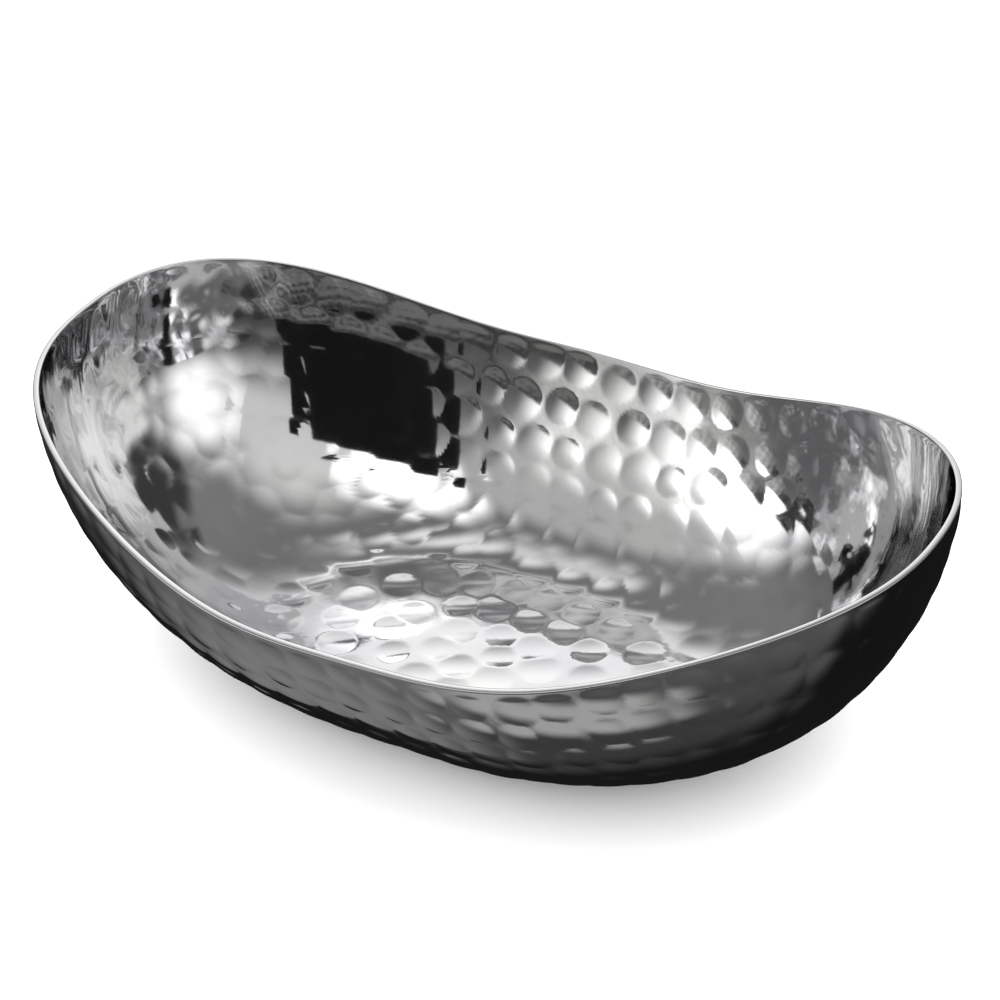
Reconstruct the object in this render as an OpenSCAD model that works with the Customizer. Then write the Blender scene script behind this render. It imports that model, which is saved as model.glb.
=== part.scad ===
// An oval serving bowl raised from one sheet of metal.
// The rim is low at the middle of the long sides and climbs to both ends.
// The floor is a flat oval that turns up into a wall.
// The wall stands upright at the ends and leans outwards at the middle of the long sides.
// X runs along the bowl, Y across it and Z up.
// The origin is the middle of the flat underside.

/* [Rim] */
// Length of the bowl over its rim
bowl_length = 300; // [240:5:360]
// Width of the bowl over its rim
bowl_width = 188; // [150:2:230]
// Height of the rim at the middle of the long sides
side_height = 63; // [50:1:80]
// Height of the rim at the two ends
end_height = 95; // [80:1:120]
// How early the rim starts to climb towards the ends
rim_climb = 1.36; // [1:0.02:1.6]
// Fullness of the rim's outline, where 2 is an ellipse
rim_fullness = 2.3; // [2:0.05:2.8]

/* [Base] */
// Length of the flat floor
base_length = 138; // [120:2:190]
// Width of the flat floor
base_width = 88; // [60:2:110]
// Fullness of the floor's outline, where 2 is an ellipse
base_fullness = 2.2; // [2:0.05:2.8]

/* [Wall] */
// Thickness of the sheet
sheet = 2; // [1.2:0.1:3]
// Size of the eased corners along the cut edge of the rim
edge_ease = 0.5; // [0.2:0.1:0.5]
// How quickly the wall leaves the floor, where a larger value keeps it low for longer
wall_spread = 1.7; // [1.2:0.05:2]
// How squarely the wall turns upright below the rim
wall_rise = 2; // [1.6:0.05:2.4]
// How far the wall's curve has turned at the rim of the long sides, where 90 is upright
side_turn = 52; // [45:1:90]
// How far along the sides the wall leans outwards, as a share of half the length
lean_reach = 0.5; // [0.2:0.05:1]

/* [Hidden] */

// Points round each ring and rings up each face of the wall
ring_points = 120;
wall_steps = 13;
// Degrees round to the neighbours that give the slope at a point
round_sample = 0.5;
// Share of the wall up or down to the neighbours that give the slope at a point
up_sample = 0.005;

inner_half_length = bowl_length / 2 - sheet;
inner_half_width = bowl_width / 2 - sheet;

// Distance from the centre to an oval outline in direction a
function oval_radius(a, half_x, half_y, fullness) =
    pow(pow(abs(cos(a)) / half_x, fullness) + pow(abs(sin(a)) / half_y, fullness), -1 / fullness);

function rim_radius(a) = oval_radius(a, inner_half_length, inner_half_width, rim_fullness);
function floor_radius(a) = oval_radius(a, base_length / 2, base_width / 2, base_fullness);

// How near the rim's point in direction a is to the ends, from 0 at the middle of the sides to 1
function nearness_to_end(a) = pow(rim_radius(a) * cos(a) / inner_half_length, 2);

// Height of the rim's top in direction a
function rim_height(a) =
    let (along = nearness_to_end(a))
    side_height + (end_height - side_height) * (rim_climb * along + (1 - rim_climb) * along * along);

// How far the wall's curve has turned at the rim in direction a
function rim_turn(a) =
    let (along = nearness_to_end(a), reach = lean_reach * lean_reach)
    side_turn + (90 - side_turn) * along * (1 + reach) / (along + reach);

// Distance out and distance up along the wall's curve, before it is fitted between the floor and the rim
function outward(turn) = pow(sin(turn), 2 / wall_spread);
function upward(turn) = 1 - pow(cos(turn), 2 / wall_rise);

// Point on the inner face in direction a, for share from 0 at the floor's edge to 1 at the rim
function inner_point(a, share) =
    let (
        last = rim_turn(a),
        out = outward(share * last) / outward(last),
        up = upward(share * last) / upward(last),
        radius = floor_radius(a) + (rim_radius(a) - floor_radius(a)) * out,
        top = rim_height(a) - edge_ease
    )
    [radius * cos(a), radius * sin(a), sheet + (top - sheet) * up];

function unit(v) = v / norm(v);

// Direction through the sheet, from the inner face to the outer one
function outward_normal(a, share) =
    share == 0 ? [0, 0, -1] :
    let (
        above = min(share + up_sample, 1),
        round_way = inner_point(a + round_sample, share) - inner_point(a - round_sample, share),
        up_way = inner_point(a, above) - inner_point(a, share - up_sample)
    )
    unit(cross(round_way, up_way));

// Point on the outer face, opposite a point on the inner face
function outer_point(a, share) = inner_point(a, share) + sheet * outward_normal(a, share);

// Point on the flat top of the rim, a share of the sheet's thickness in from the inner face
function top_point(a, inset) =
    let (inner = inner_point(a, 1), outer = outer_point(a, 1), across = inner + (outer - inner) * inset)
    [across[0], across[1], rim_height(a)];

function ring_angle(i) = 360 * i / ring_points;
function ring_span() = [for (i = [0:ring_points - 1]) ring_angle(i)];

module bowl_shell() {
    ease_share = edge_ease / sheet;
    rings = [
        for (k = [0:wall_steps]) [for (a = ring_span()) outer_point(a, k / wall_steps)],
        [for (a = ring_span()) top_point(a, 1 - ease_share)],
        [for (a = ring_span()) top_point(a, ease_share)],
        for (k = [wall_steps:-1:0]) [for (a = ring_span()) inner_point(a, k / wall_steps)],
    ];
    last_ring = len(rings) - 1;
    underside_centre = len(rings) * ring_points;
    floor_centre = underside_centre + 1;
    points = [for (ring = rings) each ring, [0, 0, 0], [0, 0, sheet]];
    faces = [
        for (k = [0:last_ring - 1], i = [0:ring_points - 1])
            let (
                next = (i + 1) % ring_points,
                a = k * ring_points + i,
                b = k * ring_points + next,
                c = a + ring_points,
                d = b + ring_points
            )
            each [[a, c, b], [b, c, d]],
        for (i = [0:ring_points - 1]) [underside_centre, i, (i + 1) % ring_points],
        for (i = [0:ring_points - 1])
            [floor_centre, last_ring * ring_points + (i + 1) % ring_points, last_ring * ring_points + i],
    ];
    color("silver") polyhedron(points = points, faces = faces);
}

bowl_shell();
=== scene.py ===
import math

import bpy
import numpy as np
from mathutils import Matrix, Vector


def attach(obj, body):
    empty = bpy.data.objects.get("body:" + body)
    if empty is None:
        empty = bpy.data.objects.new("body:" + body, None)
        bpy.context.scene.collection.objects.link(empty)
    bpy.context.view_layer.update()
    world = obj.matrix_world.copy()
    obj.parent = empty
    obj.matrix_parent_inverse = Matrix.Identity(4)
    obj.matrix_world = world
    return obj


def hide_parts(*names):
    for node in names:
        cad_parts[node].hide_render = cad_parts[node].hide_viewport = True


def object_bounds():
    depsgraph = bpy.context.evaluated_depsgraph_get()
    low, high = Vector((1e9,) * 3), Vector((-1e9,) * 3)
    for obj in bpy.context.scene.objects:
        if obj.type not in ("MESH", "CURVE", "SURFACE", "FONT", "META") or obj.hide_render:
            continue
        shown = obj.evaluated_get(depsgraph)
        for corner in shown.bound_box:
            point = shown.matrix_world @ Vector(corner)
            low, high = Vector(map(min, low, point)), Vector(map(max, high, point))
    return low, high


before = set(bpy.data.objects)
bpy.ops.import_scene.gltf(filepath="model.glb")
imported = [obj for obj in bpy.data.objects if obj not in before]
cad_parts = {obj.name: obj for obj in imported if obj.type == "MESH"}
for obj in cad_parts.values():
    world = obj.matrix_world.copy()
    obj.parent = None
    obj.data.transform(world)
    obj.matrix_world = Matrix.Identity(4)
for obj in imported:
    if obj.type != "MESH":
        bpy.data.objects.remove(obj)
cad_low, cad_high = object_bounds()

MM = 0.001
FULL_TURN = 2 * math.pi
# Stands in for a length of 0 where something is divided by it.
TINY = 1e-15
random = np.random.default_rng(7)

# The bowl's shape, as in the CAD model. Its overall size comes from the frame.
SHEET = 2 * MM
INNER_HALF_LENGTH = cad_high.x - SHEET
INNER_HALF_WIDTH = cad_high.y - SHEET
END_HEIGHT = cad_high.z
SIDE_HEIGHT = 63 * MM
RIM_CLIMB = 1.36
RIM_FULLNESS = 2.3
BASE_HALF_LENGTH = 69 * MM
BASE_HALF_WIDTH = 44 * MM
BASE_FULLNESS = 2.2
WALL_SPREAD = 1.7
WALL_RISE = 2.0
SIDE_TURN = math.radians(52)
END_TURN = math.radians(90)
LEAN_REACH = 0.5
EDGE_EASE = 0.5 * MM

# Handwork: the floor blends into the wall, and the rim wanders up and down a little.
BLEND_REACH = 21 * MM
RIM_WANDER = 1.2 * MM
RIM_WAVES = 6
RIM_FIRST_DIP = math.radians(4)

# Rows of hammer marks. They follow the rim down the wall, and the floor's outline across the floor.
# Insets are measured at the middle of the floor's long sides. A negative one lies outside the floor.
FIRST_ROW_DEPTH = 7 * MM
ROW_SPACING = 14 * MM
WALL_ROWS = 8
SMOOTH_STRIP = 8 * MM
FLOOR_ROW_INSETS = [-3 * MM, 9.5 * MM, 21.5 * MM, 33 * MM, 42 * MM]
MARK_SPACING = 13.4 * MM
FEWEST_MARKS = 4
CLOSEST_MARKS = 9.5 * MM
SCATTER_ALONG = 0.13
SCATTER_ACROSS = 0.08

# Each mark is a round, shallow facet. Sizes, depths and ovalness differ from mark to mark by a share.
# A mark reaches some way past its radius, and a stretched one a little farther.
MARK_RADIUS = 6.6 * MM
MARK_DEPTH = 0.3 * MM
MARK_REACH = 1.4
RADIUS_SHARES = (0.90, 1.12)
DEPTH_SHARES = (0.70, 1.20)
STRETCHES = (-0.15, 0.30)
STRETCHED_REACH = 1.2

# On the inside the marks fade towards the ends. On the outside they stay, deeper and with softer ridges.
LEFT_END_FADE = 0.3
RIGHT_END_FADE = 1.2
MOST_FADE = 0.9
OUTSIDE_GAIN = 1.2
RIDGE_ROUNDING = 0.05 * MM
OUTSIDE_ROUNDING = 0.06 * MM

# Broad unevenness of the sheet.
WAVES = 14
WAVE_HEIGHT = 0.07 * MM
SHORTEST_WAVE = 26 * MM
LONGEST_WAVE = 60 * MM

# The sheet is set in by a little more than the most it is driven out, so it stays in the CAD box.
# The marks stop short of the rim's cut edge.
MOST_OUTWARD = 0.56 * MM
PLAIN_EDGE = 0.5 * MM
EDGE_FADE = 2.5 * MM

# The smooth form is tabled along meridians, from the centre of the floor to the rim.
TABLE_STEPS = 1440
MERIDIAN_STEP = 0.5 * MM
WALL_SAMPLES = 400
SLOPE_REACH = 0.2 * MM

# The mesh: a patch of cells in the middle, then rings up to the rim, and rows round its cut edge.
PATCH_SHARE = 0.62
PATCH_ALONG = 190
PATCH_ACROSS = 110
RINGS = 44
RIM_EDGE_ROWS = 7
RIM_EDGE_POWER = 0.5


# ---------------------------------------------------------------- the smooth form

def oval_radius(angle, half_x, half_y, fullness):
    """Distance from the centre to an oval outline in a direction."""
    x_part = np.abs(np.cos(angle) / half_x) ** fullness
    y_part = np.abs(np.sin(angle) / half_y) ** fullness
    return (x_part + y_part) ** (-1 / fullness)


def rim_height(angle, near_end):
    """Height of the rim, which climbs from the long sides to the ends and wanders a little."""
    climb = RIM_CLIMB * near_end + (1 - RIM_CLIMB) * near_end ** 2
    wander = RIM_WANDER * np.cos(RIM_WAVES * (angle - RIM_FIRST_DIP))
    return SIDE_HEIGHT + (END_HEIGHT - SIDE_HEIGHT) * climb - wander


def inner_wall(angle, share):
    """Point on the smooth inner face of the wall, for a share from 0 at the floor to 1 at the rim."""
    rim = oval_radius(angle, INNER_HALF_LENGTH, INNER_HALF_WIDTH, RIM_FULLNESS)
    base = oval_radius(angle, BASE_HALF_LENGTH, BASE_HALF_WIDTH, BASE_FULLNESS)
    near_end = (rim * np.cos(angle) / INNER_HALF_LENGTH) ** 2
    reach = LEAN_REACH ** 2
    last = SIDE_TURN + (END_TURN - SIDE_TURN) * near_end * (1 + reach) / (near_end + reach)
    out = (np.sin(share * last) / np.sin(last)) ** (2 / WALL_SPREAD)
    up = (1 - np.cos(share * last) ** (2 / WALL_RISE)) / (1 - np.cos(last) ** (2 / WALL_RISE))
    radius = base + (rim - base) * out
    top = rim_height(angle, near_end) - EDGE_EASE
    return np.stack([radius * np.cos(angle), radius * np.sin(angle), SHEET + (top - SHEET) * up], -1)


def running_length(points):
    """Length along each row of points, starting at 0."""
    steps = np.linalg.norm(np.diff(points, axis=-2), axis=-1)
    start = np.zeros(steps.shape[:-1] + (1,))
    return np.concatenate([start, np.cumsum(steps, -1)], -1)


def blended(points, reach):
    """Each meridian's points averaged with their neighbours within reach, with the ends held."""
    half = int(reach / MERIDIAN_STEP)
    weights = np.hanning(2 * half + 3)[1:-1]
    weights /= weights.sum()
    before = 2 * points[:, :1] - points[:, half:0:-1]
    after = 2 * points[:, -1:] - points[:, -2:-half - 2:-1]
    padded = np.concatenate([before, points, after], 1)
    count = points.shape[1]
    return sum(w * padded[:, k:k + count] for k, w in enumerate(weights))


table_angles = np.linspace(0, FULL_TURN, TABLE_STEPS + 1)


def make_meridians():
    """Points at even lengths along every meridian, and the whole length of each."""
    wall = inner_wall(table_angles[:, None], np.linspace(0, 1, WALL_SAMPLES)[None, :])
    centre = np.broadcast_to([0, 0, SHEET], wall[:, :1].shape)
    rough = np.concatenate([centre, wall], 1)
    lengths = running_length(rough)
    count = int(lengths[:, -1].max() / MERIDIAN_STEP)
    shares = np.linspace(0, 1, count + 1)
    even = np.empty((len(table_angles), count + 1, 3))
    for row, (line, length) in enumerate(zip(rough, lengths)):
        for axis in range(3):
            even[row, :, axis] = np.interp(shares * length[-1], length, line[:, axis])
    even = blended(even, BLEND_REACH)
    return even, running_length(even)[:, -1]


meridians, meridian_lengths = make_meridians()


def make_outward_table():
    """Directions through the sheet, from the inner face to the outer one, at the meridians' points."""
    closed = meridians[:-1]
    round_way = np.roll(closed, -1, 0) - np.roll(closed, 1, 0)
    normals = np.cross(round_way, np.gradient(closed, axis=1))
    sizes = np.linalg.norm(normals, axis=-1, keepdims=True)
    normals /= np.maximum(sizes, TINY)
    shares = np.linspace(0, 1, meridians.shape[1])
    on_floor = shares * meridian_lengths[:-1, None] < BASE_HALF_WIDTH / 2
    normals[on_floor] = [0, 0, -1]
    return np.concatenate([normals, normals[:1]])


outward_table = make_outward_table()


def whole_length(angle):
    """Length of the meridian from the floor's centre to the rim."""
    return np.interp(np.mod(angle, FULL_TURN), table_angles, meridian_lengths)


def floor_length(angle):
    """Length of the meridian's part that lies on the flat floor."""
    return oval_radius(angle, BASE_HALF_LENGTH, BASE_HALF_WIDTH, BASE_FULLNESS)


def from_table(table, angle, length):
    """Value of a table over the meridians, a length along the meridian in a direction."""
    column = np.mod(angle, FULL_TURN) / FULL_TURN * TABLE_STEPS
    left = np.minimum(column.astype(int), TABLE_STEPS - 1)
    across = (column - left)[..., None]
    steps = table.shape[1] - 1
    row = np.clip(length / whole_length(angle), 0, 1) * steps
    low = np.minimum(row.astype(int), steps - 1)
    up = (row - low)[..., None]
    first = table[left, low] * (1 - up) + table[left, low + 1] * up
    second = table[left + 1, low] * (1 - up) + table[left + 1, low + 1] * up
    return first * (1 - across) + second * across


def inner_point(angle, length):
    """Point on the smooth inner face, a length along the meridian in a direction."""
    return from_table(meridians, angle, length)


def unit(vectors):
    """The vectors scaled to a length of 1."""
    return vectors / np.maximum(np.linalg.norm(vectors, axis=-1, keepdims=True), TINY)


def outward(angle, length):
    """Direction through the sheet, from the inner face to the outer one."""
    return unit(from_table(outward_table, angle, length))


# ---------------------------------------------------------------- the hammer marks

def row_of_marks(length_at, keep_at):
    """Angles and lengths of marks spaced evenly, with some scatter, round one closed row."""
    angles = table_angles
    travelled = running_length(inner_point(angles, length_at(angles)))
    count = max(FEWEST_MARKS, round(travelled[-1] / MARK_SPACING))
    places = np.arange(count) + random.uniform(0, 1) + random.uniform(-SCATTER_ALONG, SCATTER_ALONG, count)
    angle = np.interp(np.mod(places / count, 1) * travelled[-1], travelled, angles)
    length = length_at(angle) + random.uniform(-SCATTER_ACROSS, SCATTER_ACROSS, count) * MARK_SPACING
    keep = keep_at(angle)
    return angle[keep], length[keep]


def mark_centres():
    """Centres of all the marks, on the smooth inner face."""
    angles, lengths = [], []
    for row in range(WALL_ROWS):
        below_rim = FIRST_ROW_DEPTH + row * ROW_SPACING
        angle, length = row_of_marks(
            lambda a: whole_length(a) - below_rim,
            lambda a: whole_length(a) - below_rim > floor_length(a) + SMOOTH_STRIP,
        )
        angles.append(angle)
        lengths.append(length)
    for inset in FLOOR_ROW_INSETS:
        share = 1 - inset / BASE_HALF_WIDTH
        angle, length = row_of_marks(
            lambda a: floor_length(a) * share,
            lambda a: np.full(a.shape, True),
        )
        angles.append(angle)
        lengths.append(length)
    centres = inner_point(np.concatenate(angles), np.concatenate(lengths))
    kept = []
    for k, centre in enumerate(centres):
        if all(np.linalg.norm(centre - centres[other]) > CLOSEST_MARKS for other in kept):
            kept.append(k)
    return centres[kept]


def smooth_max(a, b, rounding):
    """The larger of two values, with the crease between them rounded."""
    return (a + b + np.sqrt((a - b) ** 2 + rounding ** 2)) / 2


class Hammering:
    """How far the sheet is driven outwards at points on the smooth inner face."""

    def __init__(self):
        self.centres = mark_centres()
        count = len(self.centres)
        self.radii = MARK_RADIUS * random.uniform(*RADIUS_SHARES, count)
        along = self.centres[:, 0] / INNER_HALF_LENGTH
        fade = np.minimum(np.where(along < 0, LEFT_END_FADE, RIGHT_END_FADE) * along ** 2, MOST_FADE)
        depths = MARK_DEPTH * random.uniform(*DEPTH_SHARES, count)
        self.inside_depths = depths * (1 - fade)
        self.outside_depths = depths * OUTSIDE_GAIN
        self.ways = unit(random.normal(size=(count, 3)))
        self.stretches = random.uniform(*STRETCHES, count)
        headings = unit(random.normal(size=(WAVES, 3)))
        spacings = random.uniform(SHORTEST_WAVE, LONGEST_WAVE, WAVES)
        self.waves = headings * (FULL_TURN / spacings)[:, None]
        self.starts = random.uniform(0, FULL_TURN, WAVES)

    def drive(self, points, depths, rounding):
        """How far the points are driven: round facets with rounded ridges between, on an uneven sheet."""
        facets = np.zeros(len(points))
        for k in range(len(self.centres)):
            near, square = self.near(points, k)
            facet = depths[k] * (1 - square)
            facets[near] = smooth_max(facets[near], facet, rounding)
        return facets + self.waviness(points)

    def waviness(self, points):
        """Broad unevenness of the hand-worked sheet."""
        return WAVE_HEIGHT * np.sin(points @ self.waves.T + self.starts).sum(1) / WAVES

    def near(self, points, k):
        """The points within reach of a mark, and the squares of their distances in radii."""
        radius = self.radii[k]
        farthest = STRETCHED_REACH * MARK_REACH * radius
        close = np.flatnonzero(((points - self.centres[k]) ** 2).sum(1) < farthest ** 2)
        offset = points[close] - self.centres[k]
        square = ((offset ** 2).sum(1) + self.stretches[k] * (offset @ self.ways[k]) ** 2) / radius ** 2
        inside = square < MARK_REACH ** 2
        return close[inside], square[inside]


hammering = Hammering()


def rim_fade(angle, length):
    """0 at the cut edge of the rim and 1 from a few millimetres below it."""
    below = whole_length(angle) - length
    share = np.clip((below - PLAIN_EDGE) / EDGE_FADE, 0, 1)
    return share * share * (3 - 2 * share)


def inner_drive(angle, length):
    """How far the inner face is driven outwards."""
    driven = hammering.drive(inner_point(angle, length), hammering.inside_depths, RIDGE_ROUNDING)
    return driven * rim_fade(angle, length) - MOST_OUTWARD


def outer_drive(angle, length):
    """How far the outer face is driven outwards."""
    driven = hammering.drive(inner_point(angle, length), hammering.outside_depths, OUTSIDE_ROUNDING)
    return driven * rim_fade(angle, length) - MOST_OUTWARD


def face_points(drive, angle, length, depth):
    """Points on a hammered face that lies a depth outside the smooth inner face."""
    return inner_point(angle, length) + outward(angle, length) * (depth + drive(angle, length))[:, None]


def face_normals(drive, angle, length):
    """Outward directions square to a hammered face: the smooth ones, tipped by the marks' slopes."""
    length = np.maximum(length, SLOPE_REACH)
    smooth = outward(angle, length)
    turn = SLOPE_REACH / length
    above = np.minimum(length + SLOPE_REACH, whole_length(angle))
    below = np.maximum(above - 2 * SLOPE_REACH, 0)
    tangents = []
    for first, last in (((angle - turn, length), (angle + turn, length)), ((angle, below), (angle, above))):
        step = inner_point(*last) - inner_point(*first)
        size = np.linalg.norm(step, axis=-1, keepdims=True)
        flat = step - smooth * (step * smooth).sum(-1, keepdims=True)
        climb = (drive(*last) - drive(*first))[:, None]
        tangents.append((unit(flat) * size + smooth * climb) / np.maximum(size, TINY))
    return unit(np.cross(*tangents))


# ---------------------------------------------------------------- the mesh

def patch_grid():
    """Angle and share of the meridian for the points of the middle patch, as a grid."""
    u = np.tan(np.linspace(-1, 1, PATCH_ALONG + 1) * math.pi / 4)
    v = np.tan(np.linspace(-1, 1, PATCH_ACROSS + 1) * math.pi / 4)
    u, v = np.meshgrid(u, v, indexing="ij")
    x = u * np.sqrt(1 - v ** 2 / 2)
    y = v * np.sqrt(1 - u ** 2 / 2)
    round_share = np.hypot(x, y)
    turn = np.mod(np.arctan2(y, x) + math.pi / 4, FULL_TURN)
    corner_turns = [0, math.pi / 2, math.pi, 3 * math.pi / 2, FULL_TURN]
    corner_counts = np.cumsum([-PATCH_ACROSS / 2, PATCH_ACROSS, PATCH_ALONG, PATCH_ACROSS, PATCH_ALONG])
    edge_share = np.interp(turn, corner_turns, corner_counts) / (2 * (PATCH_ALONG + PATCH_ACROSS))
    outline = inner_point(table_angles, whole_length(table_angles) * PATCH_SHARE)
    travelled = running_length(outline)
    angle = np.interp(np.mod(edge_share, 1) * travelled[-1], travelled, table_angles)
    return angle, round_share * PATCH_SHARE


def quads(first, second):
    """Faces between two closed rings of points."""
    return np.stack([first, second, np.roll(second, -1), np.roll(first, -1)], -1)


def face_grid():
    """Angles, lengths and faces of one side of the sheet, and the ring of points at its rim."""
    patch_angle, patch_share = patch_grid()
    index = np.arange(patch_angle.size).reshape(patch_angle.shape)
    faces = [np.stack([index[:-1, :-1], index[1:, :-1], index[1:, 1:], index[:-1, 1:]], -1).reshape(-1, 4)]
    edge = np.concatenate([index[-1, :-1], index[:0:-1, -1], index[0, :0:-1], index[:-1, 0]])
    edge_angle = patch_angle.ravel()[edge]
    angles, shares = [patch_angle.ravel()], [patch_share.ravel()]
    ring = edge
    for k in range(1, RINGS + 1):
        share = PATCH_SHARE + (1 - PATCH_SHARE) * k / RINGS
        next_ring = patch_angle.size + (k - 1) * len(edge) + np.arange(len(edge))
        angles.append(edge_angle)
        shares.append(np.full(len(edge), share))
        faces.append(quads(ring, next_ring))
        ring = next_ring
    angle = np.concatenate(angles)
    return angle, np.concatenate(shares) * whole_length(angle), np.concatenate(faces), ring


def rim_edge(inner_rim, outer_rim):
    """Rows of points and their normals over the rim's eased cut edge, from the inner face to the outer."""
    middle = (inner_rim + outer_rim) / 2
    half = (inner_rim - outer_rim) / 2
    inward = unit(half)
    up = np.array([0, 0, 1.0])
    points, normals = [], []
    for k in range(1, RIM_EDGE_ROWS + 1):
        turn = math.pi * k / (RIM_EDGE_ROWS + 1)
        side = math.cos(turn)
        rise = math.sin(turn)
        across = math.copysign(abs(side) ** RIM_EDGE_POWER, side)
        lean = math.copysign(abs(side) ** (2 - RIM_EDGE_POWER), side) * EDGE_EASE / (SHEET / 2)
        points.append(middle + half * across + up * EDGE_EASE * rise ** RIM_EDGE_POWER)
        normals.append(unit(inward * lean + up * rise ** (2 - RIM_EDGE_POWER)))
    return points, normals


def make_bowl():
    """The whole bowl as one closed mesh: inner face, outer face and the rim's edge between them."""
    angle, length, faces, rim_ring = face_grid()
    inner = face_points(inner_drive, angle, length, 0)
    outer = face_points(outer_drive, angle, length, SHEET)
    edge_points, edge_normals = rim_edge(inner[rim_ring], outer[rim_ring])
    points = [inner, outer] + edge_points
    normals = [-face_normals(inner_drive, angle, length), face_normals(outer_drive, angle, length)]
    normals += edge_normals
    count = len(inner)
    edge_rings = [2 * count + k * len(rim_ring) + np.arange(len(rim_ring)) for k in range(RIM_EDGE_ROWS)]
    rings = [rim_ring] + edge_rings + [rim_ring + count]
    all_faces = [faces, faces[:, ::-1] + count]
    all_faces += [quads(low, high) for low, high in zip(rings, rings[1:])]
    mesh = bpy.data.meshes.new("hammered_bowl")
    mesh.from_pydata(np.concatenate(points).tolist(), [], np.concatenate(all_faces).tolist())
    mesh.shade_smooth()
    mesh.normals_split_custom_set_from_vertices(np.concatenate(normals).tolist())
    bowl = bpy.data.objects.new("hammered_bowl", mesh)
    bpy.context.scene.collection.objects.link(bowl)
    return bowl


# ---------------------------------------------------------------- the metal

# Polished stainless steel, which reflects 64 to 74% of the light and is clouded a little.
# The clouds' values between the two given are spread over the tints, and over the roughnesses.
DULLER_TINT = (0.64, 0.64, 0.66, 1)
BRIGHTER_TINT = (0.74, 0.74, 0.73, 1)
TINT_CLOUDS = (0.35, 0.65)
ROUGHNESSES = (0.04, 0.09)
ROUGHNESS_CLOUDS = (0.3, 0.7)

# Sizes of the clouds, of the fine dimples called orange peel, and of the scratches.
CLOUD_SIZE = 55 * MM
PEEL_SIZE = 4 * MM
PEEL_DEPTH = 0.012 * MM
SCRATCH_WIDTH = 0.5 * MM
SCRATCH_LENGTH = 40 * MM
SCRATCH_DEPTH = 0.002 * MM
SCRATCH_TURNS = [25, -50]


def noise(tree, coordinates, scale, detail):
    """Smooth random values from 0 to 1."""
    texture = tree.nodes.new("ShaderNodeTexNoise")
    texture.inputs["Scale"].default_value = scale
    texture.inputs["Detail"].default_value = detail
    tree.links.new(coordinates, texture.inputs["Vector"])
    return texture.outputs["Fac"]


def spread(tree, value, low, high, to_low, to_high):
    """The value, moved from one range to another."""
    node = tree.nodes.new("ShaderNodeMapRange")
    node.inputs["From Min"].default_value = low
    node.inputs["From Max"].default_value = high
    node.inputs["To Min"].default_value = to_low
    node.inputs["To Max"].default_value = to_high
    tree.links.new(value, node.inputs["Value"])
    return node.outputs[0]


def bump(tree, height, distance, normal=None):
    """The normal, tipped by a height whose values from 0 to 1 stand for the distance."""
    node = tree.nodes.new("ShaderNodeBump")
    node.inputs["Distance"].default_value = distance
    tree.links.new(height, node.inputs["Height"])
    if normal:
        tree.links.new(normal, node.inputs["Normal"])
    return node.outputs["Normal"]


def scratches(tree, coordinates, turn):
    """Fine streaks that run one way."""
    mapping = tree.nodes.new("ShaderNodeMapping")
    mapping.inputs["Rotation"].default_value = (0, 0, math.radians(turn))
    mapping.inputs["Scale"].default_value = (1 / SCRATCH_LENGTH, 1 / SCRATCH_WIDTH, 1 / SCRATCH_LENGTH)
    tree.links.new(coordinates, mapping.inputs["Vector"])
    return noise(tree, mapping.outputs["Vector"], 1, detail=2)


def polished_steel():
    """Mirror-polished steel with slight clouding, orange peel and fine scratches."""
    material = bpy.data.materials.new("polished_steel")
    material.use_nodes = True
    tree = material.node_tree
    shader = tree.nodes["Principled BSDF"]
    shader.inputs["Metallic"].default_value = 1.0
    coordinates = tree.nodes.new("ShaderNodeTexCoord").outputs["Object"]
    clouds = noise(tree, coordinates, 1 / CLOUD_SIZE, detail=5)
    tint = tree.nodes.new("ShaderNodeMix")
    tint.data_type = "RGBA"
    tint.inputs["A"].default_value = DULLER_TINT
    tint.inputs["B"].default_value = BRIGHTER_TINT
    tree.links.new(spread(tree, clouds, *TINT_CLOUDS, 0, 1), tint.inputs["Factor"])
    tree.links.new(tint.outputs["Result"], shader.inputs["Base Color"])
    tree.links.new(spread(tree, clouds, *ROUGHNESS_CLOUDS, *ROUGHNESSES), shader.inputs["Roughness"])
    peel = noise(tree, coordinates, 1 / PEEL_SIZE, detail=1)
    normal = bump(tree, peel, PEEL_DEPTH)
    for turn in SCRATCH_TURNS:
        normal = bump(tree, scratches(tree, coordinates, turn), SCRATCH_DEPTH, normal)
    tree.links.new(normal, shader.inputs["Normal"])
    return material


bowl = make_bowl()
bowl.data.materials.append(polished_steel())
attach(bowl, "root")
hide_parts("bowl_shell")


# ---------------------------------------------------------------- camera

# The camera's turn is from -Y towards +X and its height is over the horizon, both seen from the origin.
# The lens and the sensor's width are in millimetres.
CAMERA_TURN = math.radians(31)
CAMERA_HEIGHT = math.radians(37)
CAMERA_DISTANCE = 0.9
CAMERA_ROLL = math.radians(-2)
CAMERA_LENS = 100
CAMERA_SENSOR = 36
CAMERA_AIM = Vector((-0.020, 0.044, 0.030))


def make_camera():
    """The camera, at the photo's viewing angle."""
    data = bpy.data.cameras.new("camera")
    data.lens = CAMERA_LENS
    data.sensor_width = CAMERA_SENSOR
    camera = bpy.data.objects.new("camera", data)
    bpy.context.scene.collection.objects.link(camera)
    flat = math.cos(CAMERA_HEIGHT)
    away = Vector((math.sin(CAMERA_TURN) * flat, -math.cos(CAMERA_TURN) * flat, math.sin(CAMERA_HEIGHT)))
    place = away * CAMERA_DISTANCE
    turn = (CAMERA_AIM - place).to_track_quat("-Z", "Y").to_matrix().to_4x4()
    camera.matrix_world = Matrix.Translation(place) @ turn @ Matrix.Rotation(CAMERA_ROLL, 4, "Z")
    bpy.context.scene.camera = camera


make_camera()


# ---------------------------------------------------------------- floor and studio light

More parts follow.
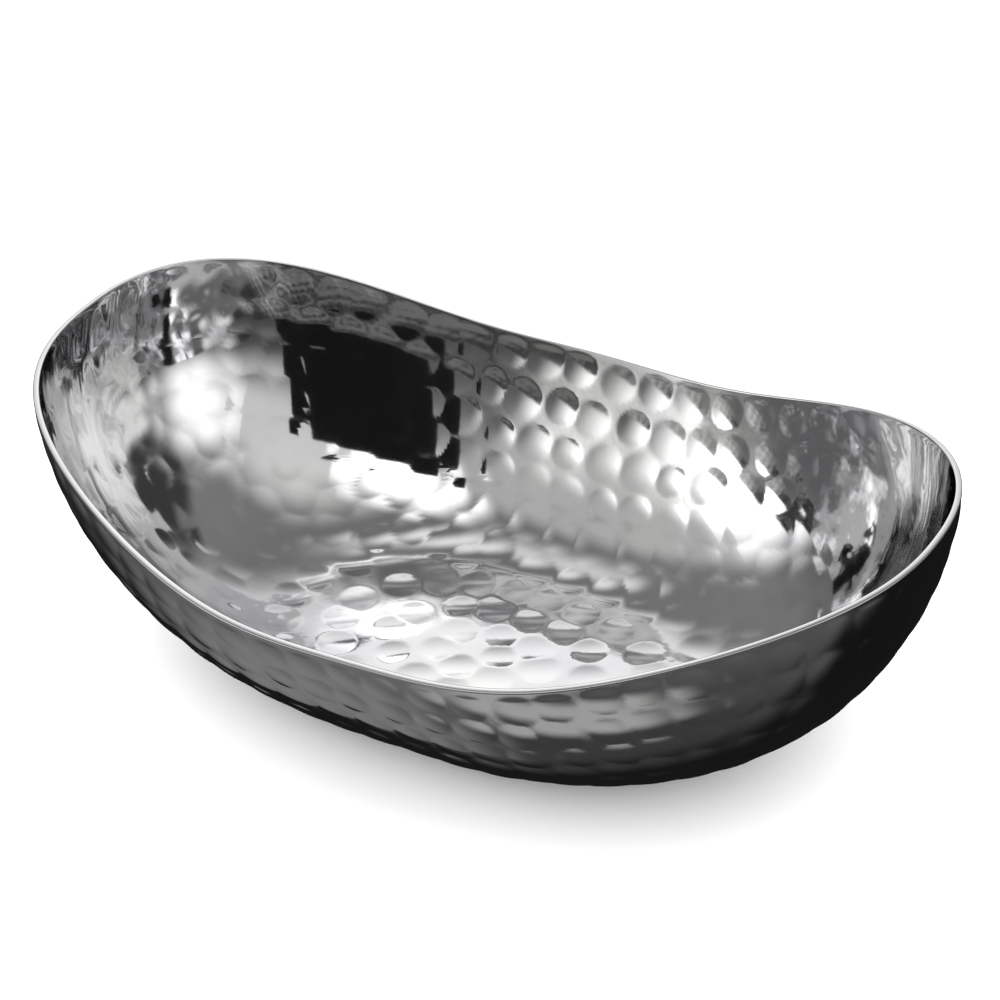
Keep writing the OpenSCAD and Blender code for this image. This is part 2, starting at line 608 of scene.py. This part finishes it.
FLOOR_RADIUS = 6
FLOOR_CORNERS = 96
FLOOR_GREY = 0.93
FLOOR_ROUGHNESS = 0.9


def make_floor():
    """A plain pale floor, which the metal doesn't mirror."""
    bpy.ops.mesh.primitive_circle_add(
        vertices=FLOOR_CORNERS, radius=FLOOR_RADIUS, fill_type="NGON", location=(0, 0, 0)
    )
    floor = bpy.context.object
    floor.name = "floor"
    floor.visible_glossy = False
    material = bpy.data.materials.new("pale_floor")
    material.use_nodes = True
    shader = material.node_tree.nodes["Principled BSDF"]
    shader.inputs["Base Color"].default_value = (FLOOR_GREY, FLOOR_GREY, FLOOR_GREY, 1)
    shader.inputs["Roughness"].default_value = FLOOR_ROUGHNESS
    floor.data.materials.append(material)


make_floor()

# The point that the cards face, and how far they stand from it.
CARD_AIM = Vector((0, 0, 0.04))
BRIGHT_DISTANCE = 1.5
DARK_DISTANCE = 1.2


def compass(bearing, height):
    """Direction for a bearing, clockwise from +Y seen from above, and a height over the horizon."""
    bearing, height = math.radians(bearing), math.radians(height)
    flat = math.cos(height)
    return Vector((math.sin(bearing) * flat, math.cos(bearing) * flat, math.sin(height)))


def card_material(name, half_width, half_height, strength, soft):
    """Light that fades towards the card's edges, where the card is clear."""
    material = bpy.data.materials.new(name)
    material.use_nodes = True
    tree = material.node_tree
    tree.nodes.clear()
    output = tree.nodes.new("ShaderNodeOutputMaterial")
    light = tree.nodes.new("ShaderNodeEmission")
    light.inputs["Strength"].default_value = strength
    clear = tree.nodes.new("ShaderNodeBsdfTransparent")
    place = tree.nodes.new("ShaderNodeTexCoord")
    split = tree.nodes.new("ShaderNodeSeparateXYZ")
    tree.links.new(place.outputs["Object"], split.inputs[0])
    fades = []
    for axis, half in (("X", half_width), ("Y", half_height)):
        size = tree.nodes.new("ShaderNodeMath")
        size.operation = "ABSOLUTE"
        tree.links.new(split.outputs[axis], size.inputs[0])
        fade = tree.nodes.new("ShaderNodeMapRange")
        fade.interpolation_type = "SMOOTHSTEP"
        fade.inputs["From Min"].default_value = half * (1 - soft)
        fade.inputs["From Max"].default_value = half
        fade.inputs["To Min"].default_value = 1
        fade.inputs["To Max"].default_value = 0
        tree.links.new(size.outputs[0], fade.inputs["Value"])
        fades.append(fade)
    both = tree.nodes.new("ShaderNodeMath")
    both.operation = "MULTIPLY"
    tree.links.new(fades[0].outputs[0], both.inputs[0])
    tree.links.new(fades[1].outputs[0], both.inputs[1])
    mix = tree.nodes.new("ShaderNodeMixShader")
    tree.links.new(both.outputs[0], mix.inputs[0])
    tree.links.new(clear.outputs[0], mix.inputs[1])
    tree.links.new(light.outputs[0], mix.inputs[2])
    tree.links.new(mix.outputs[0], output.inputs[0])
    return material


def card(name, bearing, height, width, tall, strength, soft, distance):
    """A studio card that faces the bowl. Its width and tallness are angles seen from the bowl."""
    half_width = distance * math.tan(math.radians(width) / 2)
    half_height = distance * math.tan(math.radians(tall) / 2)
    corners = [(-1, -1), (1, -1), (1, 1), (-1, 1)]
    mesh = bpy.data.meshes.new(name)
    mesh.from_pydata([(x * half_width, y * half_height, 0) for x, y in corners], [], [(0, 1, 2, 3)])
    mesh.materials.append(card_material(name, half_width, half_height, strength, soft))
    piece = bpy.data.objects.new(name, mesh)
    bpy.context.scene.collection.objects.link(piece)
    towards = compass(bearing, height)
    piece.location = CARD_AIM + towards * distance
    piece.rotation_mode = "QUATERNION"
    piece.rotation_quaternion = towards.to_track_quat("Z", "Y")
    piece.visible_camera = False
    piece.visible_diffuse = False


# The studio, as the metal mirrors it: softboxes at the sides, overhead and behind, and below them a table
# with paper in front, grey cloth beside it and dark cloth elsewhere. Dark cards stand nearer to the bowl.
# Name, bearing and height of the middle, width and tallness, brightness, and softness of the edges.
BRIGHT_CARDS = [
    ("left_softbox", -135, 15, 60, 60, 2.4, 1),
    ("left_ceiling", -145, 40, 60, 40, 0.55, 0.9),
    ("right_softbox", 85, 25, 70, 55, 1.6, 1),
    ("right_ceiling", 115, 50, 80, 90, 0.8, 0.9),
    ("low_strip", 45, 10, 35, 20, 0.9, 0.8),
    ("top_softbox", 175, 60, 50, 50, 2.6, 1),
    ("ceiling", -65, 70, 60, 25, 1, 1),
    ("back_softbox", -30, 30, 80, 50, 1.4, 1),
    ("paper", 180, -65, 60, 25, 0.45, 0.8),
    ("side_cloth", -90, -60, 60, 45, 0.25, 1),
    ("front_cloth", -155, -30, 60, 35, 0.3, 0.6),
]
DARK_CARDS = [
    ("photographer", 161, 25, 46, 60, 0.01, 0.05),
    ("dark_corner", 30, 25, 40, 30, 0.05, 0.6),
    ("dark_cloth", 0, -50, 130, 90, 0.01, 0.6),
]

for settings in BRIGHT_CARDS:
    card(*settings, distance=BRIGHT_DISTANCE)
for settings in DARK_CARDS:
    card(*settings, distance=DARK_DISTANCE)


# What the metal mirrors between the cards, as greys from straight down (0) to straight up (1).
MIRRORED_GREYS = [(0, 0.05), (0.25, 0.15), (0.5, 0.07), (0.75, 0.25), (1, 0.2)]
FLOOR_LIGHT = 2.4


def make_world():
    """Even white light and backdrop, and a studio's greys for what the metal mirrors."""
    world = bpy.data.worlds.new("studio")
    bpy.context.scene.world = world
    world.use_nodes = True
    tree = world.node_tree
    tree.nodes.clear()
    output = tree.nodes.new("ShaderNodeOutputWorld")
    even = tree.nodes.new("ShaderNodeBackground")
    even.inputs["Color"].default_value = (1, 1, 1, 1)
    even.inputs["Strength"].default_value = FLOOR_LIGHT
    mirrored = tree.nodes.new("ShaderNodeBackground")
    path = tree.nodes.new("ShaderNodeLightPath")
    mix = tree.nodes.new("ShaderNodeMixShader")
    place = tree.nodes.new("ShaderNodeTexCoord")
    split = tree.nodes.new("ShaderNodeSeparateXYZ")
    height = tree.nodes.new("ShaderNodeMapRange")
    height.inputs["From Min"].default_value = -1
    height.inputs["From Max"].default_value = 1
    greys = tree.nodes.new("ShaderNodeValToRGB")
    ramp = greys.color_ramp.elements
    while len(ramp) < len(MIRRORED_GREYS):
        ramp.new(0.5)
    for stop, (position, grey) in zip(ramp, MIRRORED_GREYS):
        stop.position = position
        stop.color = (grey, grey, grey, 1)
    tree.links.new(place.outputs["Generated"], split.inputs[0])
    tree.links.new(split.outputs["Z"], height.inputs["Value"])
    tree.links.new(height.outputs[0], greys.inputs[0])
    tree.links.new(greys.outputs[0], mirrored.inputs["Color"])
    tree.links.new(path.outputs["Is Glossy Ray"], mix.inputs[0])
    tree.links.new(even.outputs[0], mix.inputs[1])
    tree.links.new(mirrored.outputs[0], mix.inputs[2])
    tree.links.new(mix.outputs[0], output.inputs[0])


make_world()
bpy.context.scene.view_settings.view_transform = "Standard"
